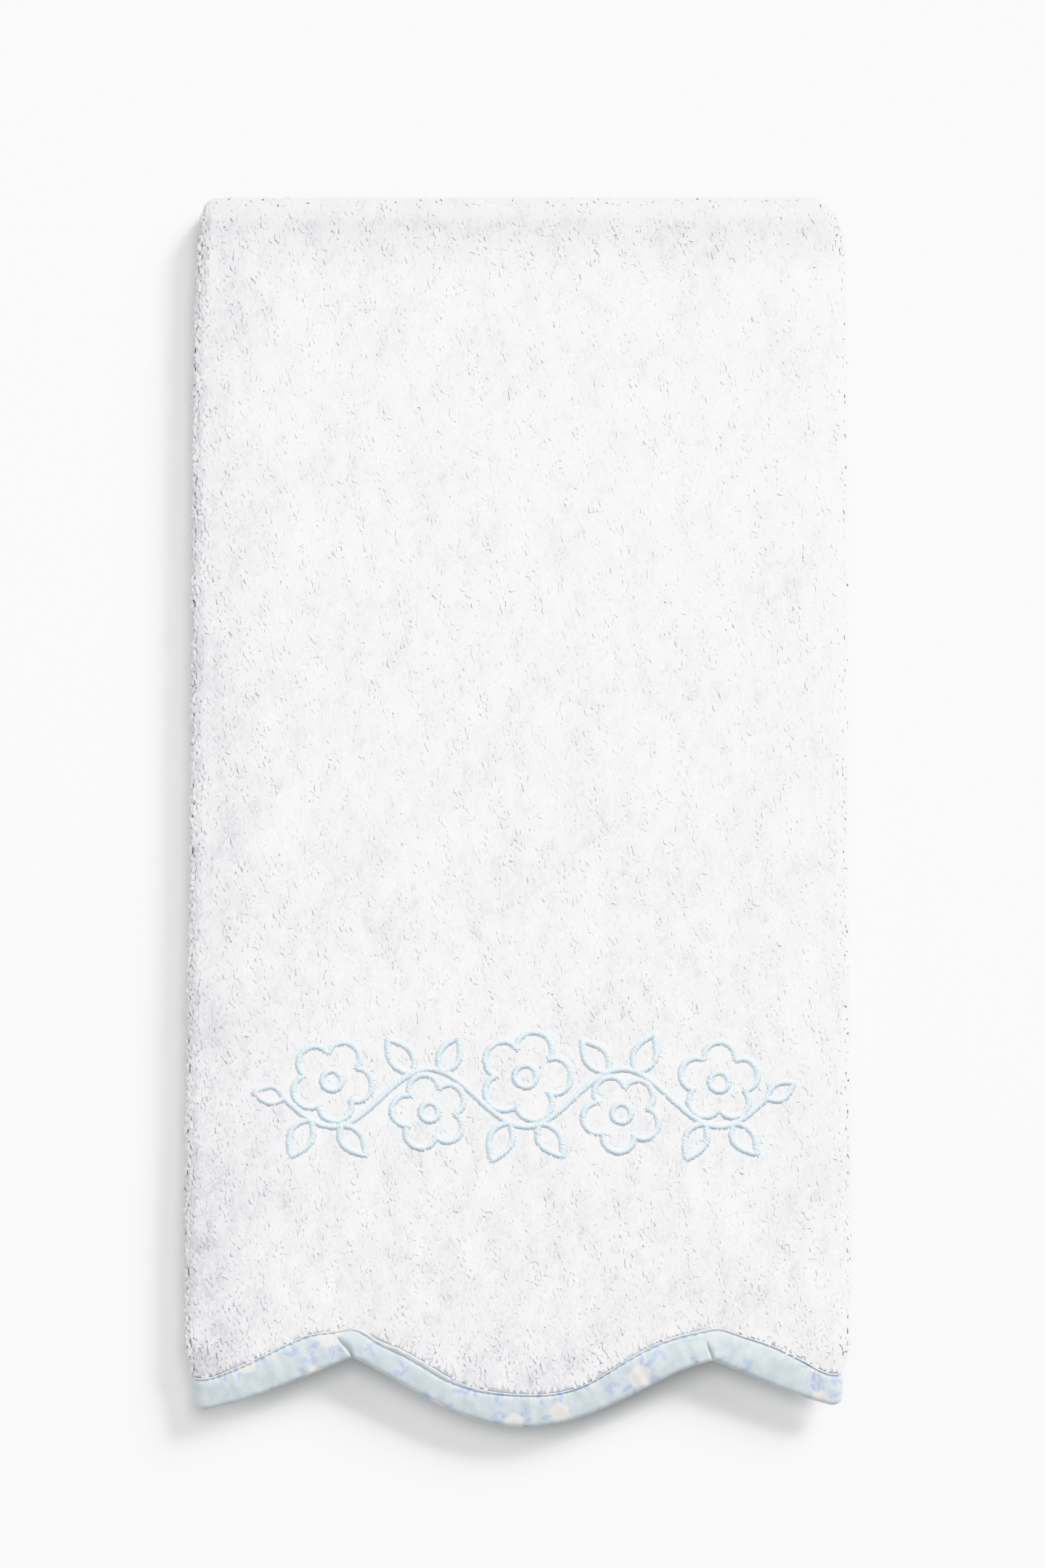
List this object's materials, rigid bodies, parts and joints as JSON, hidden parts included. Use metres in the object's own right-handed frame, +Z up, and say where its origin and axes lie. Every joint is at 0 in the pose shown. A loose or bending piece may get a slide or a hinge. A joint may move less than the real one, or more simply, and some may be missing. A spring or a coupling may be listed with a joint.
{
  "type": "hand towel",
  "caption": "White terry hand towel folded flat, with a scalloped hem bound in pale blue sprigged cotton and a stitched vine border above it.",
  "frame": {"origin": "under the middle of the folded towel's outline, on the surface it lies on", "axes": "+X across the towel, +Y along it from the scalloped hem to the top fold, +Z up"},
  "size_m": [0.2082, 0.3844, 0.0177],
  "materials": {
    "terry": "white cotton terry, loop pile on both faces, soft and matt",
    "binding": "thin plain-woven cotton, pale blue with a small print of white blooms and blue sprigs",
    "thread": "pale blue embroidery thread with a soft sheen"
  },
  "bodies": {
    "root": {"towel_cloth": "terry", "hem_binding": "binding"}
  },
  "joints": []
}
